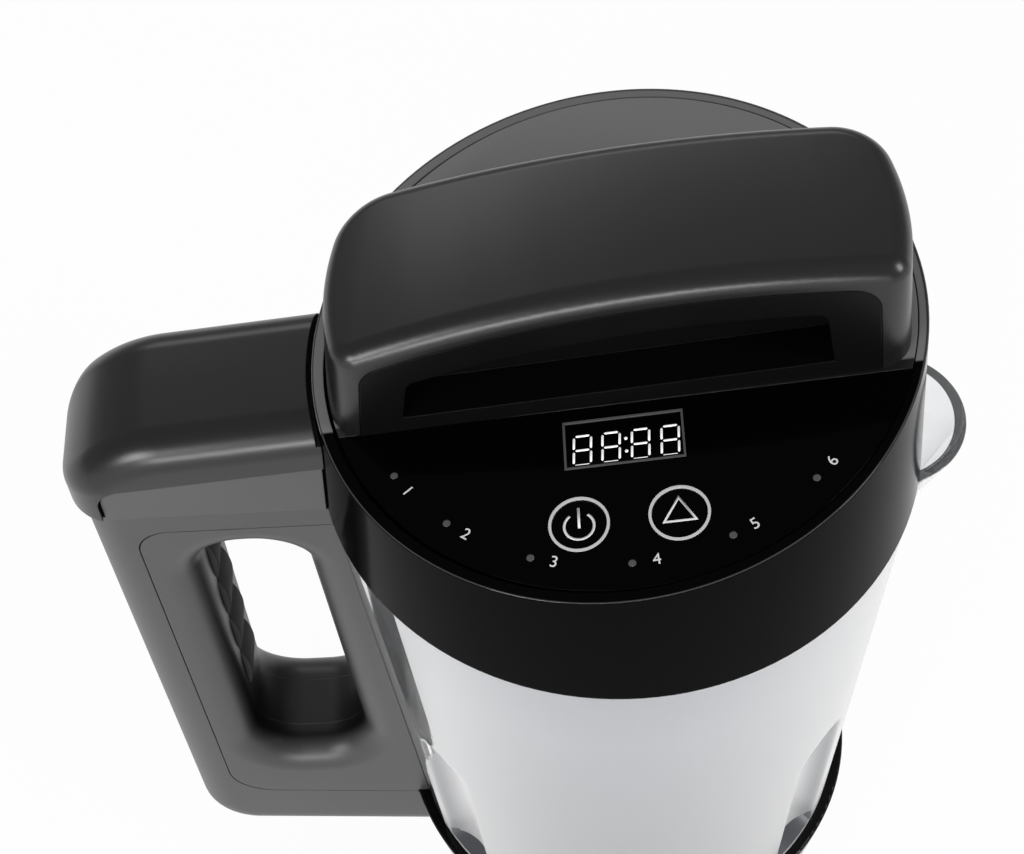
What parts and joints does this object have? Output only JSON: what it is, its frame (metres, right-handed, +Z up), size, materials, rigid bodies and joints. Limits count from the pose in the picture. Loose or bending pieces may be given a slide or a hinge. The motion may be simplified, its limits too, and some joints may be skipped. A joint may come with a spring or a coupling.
{
  "type": "soup maker",
  "caption": "Countertop soup maker: clear tapered jug with spout and D-shaped side handle on a heated base, under a lift-off black motor head with a bridge handle and a sloped control panel.",
  "frame": {"origin": "on the resting plane, on the jug's axis", "axes": "+Z up along the jug's axis; +X towards the spout, with the handle on -X; -Y is the front with the control panel"},
  "size_m": [0.2395, 0.16, 0.3101],
  "materials": {
    "jug_clear": "clear, softly frosted jug wall",
    "black_gloss": "high-gloss black moulding",
    "black_satin": "satin black moulding",
    "black_matte": "fine matte black moulding",
    "grey_matte": "dark grey matte moulding",
    "black_rubber": "soft black rubber",
    "grey_silicone": "grey silicone",
    "brushed_steel": "brushed stainless steel",
    "bright_steel": "bright plated trim",
    "zinc_steel": "zinc-plated steel",
    "cast_metal": "die-cast aluminium",
    "contact_brass": "plain brass contact",
    "smoked_window": "smoked clear window",
    "board_green": "green circuit board",
    "lamp_grey": "unlit dark lamp lens",
    "white_segment": "pale display module"
  },
  "bodies": {
    "jug_and_base": {"jug_body": "jug_clear", "base_housing": "black_gloss", "base_cover": "black_matte", "rubber_feet": "black_rubber", "base_screws": "zinc_steel", "heating_plate": "brushed_steel", "plate_seal": "grey_silicone", "clamp_ring": "cast_metal", "heating_element": "brushed_steel", "thermostat": "black_matte", "temperature_sensor": "brushed_steel", "power_board": "board_green", "power_inlet": "black_matte", "inlet_pins": "contact_brass", "handle_body": "black_satin", "handle_front_shell": "grey_matte", "handle_rear_shell": "grey_matte", "finger_grip": "black_rubber", "handle_socket": "black_matte", "socket_contacts": "contact_brass"},
    "head": {"head_collar": "black_gloss", "top_cover": "black_satin", "cover_screws": "zinc_steel", "control_panel": "black_gloss", "display_frame": "lamp_grey", "display_window": "smoked_window", "display_module": "white_segment", "control_board": "board_green", "button_switches": "black_matte", "indicator_lights": "lamp_grey", "button_rings": "bright_steel", "bridge_handle": "black_satin", "bridge_front_insert": "black_matte", "bridge_rear_insert": "black_matte", "connector_cap": "black_satin", "connector_plug": "black_matte", "plug_pins": "contact_brass", "lower_housing": "brushed_steel", "jug_seal": "grey_silicone", "motor_bracket": "zinc_steel", "motor_screws": "zinc_steel", "motor_mount": "black_rubber", "motor_can": "zinc_steel", "motor_end_cap": "cast_metal", "lower_bearing": "brushed_steel", "upper_bearing": "brushed_steel", "motor_stator": "zinc_steel", "shaft_tube": "brushed_steel", "tube_bush": "contact_brass", "blade_guard": "brushed_steel", "overflow_probe": "brushed_steel"},
    "power_key": {"power_button": "black_gloss"},
    "select_key": {"select_button": "black_gloss"},
    "drive": {"motor_rotor": "zinc_steel", "motor_shaft": "brushed_steel", "cooling_fan": "black_matte", "blade": "brushed_steel", "blade_nut": "brushed_steel"}
  },
  "joints": [
    {"name": "head_lift", "type": "slide", "parent": "jug_and_base", "child": "head", "axis": [0, 0, 1], "range_m": [0, 0.18]},
    {"name": "power_key_press", "type": "slide", "parent": "head", "child": "power_key", "axis": [0.1218, 0.0346, -0.992], "range_m": [0, 0.0008], "stiffness_N_per_m": 400},
    {"name": "select_key_press", "type": "slide", "parent": "head", "child": "select_key", "axis": [0.1218, 0.0346, -0.992], "range_m": [0, 0.0008], "stiffness_N_per_m": 400},
    {"name": "drive_spin", "type": "hinge", "parent": "head", "child": "drive", "pos_m": [0, 0, 0.2], "axis": [0, 0, 1], "continuous": true}
  ]
}
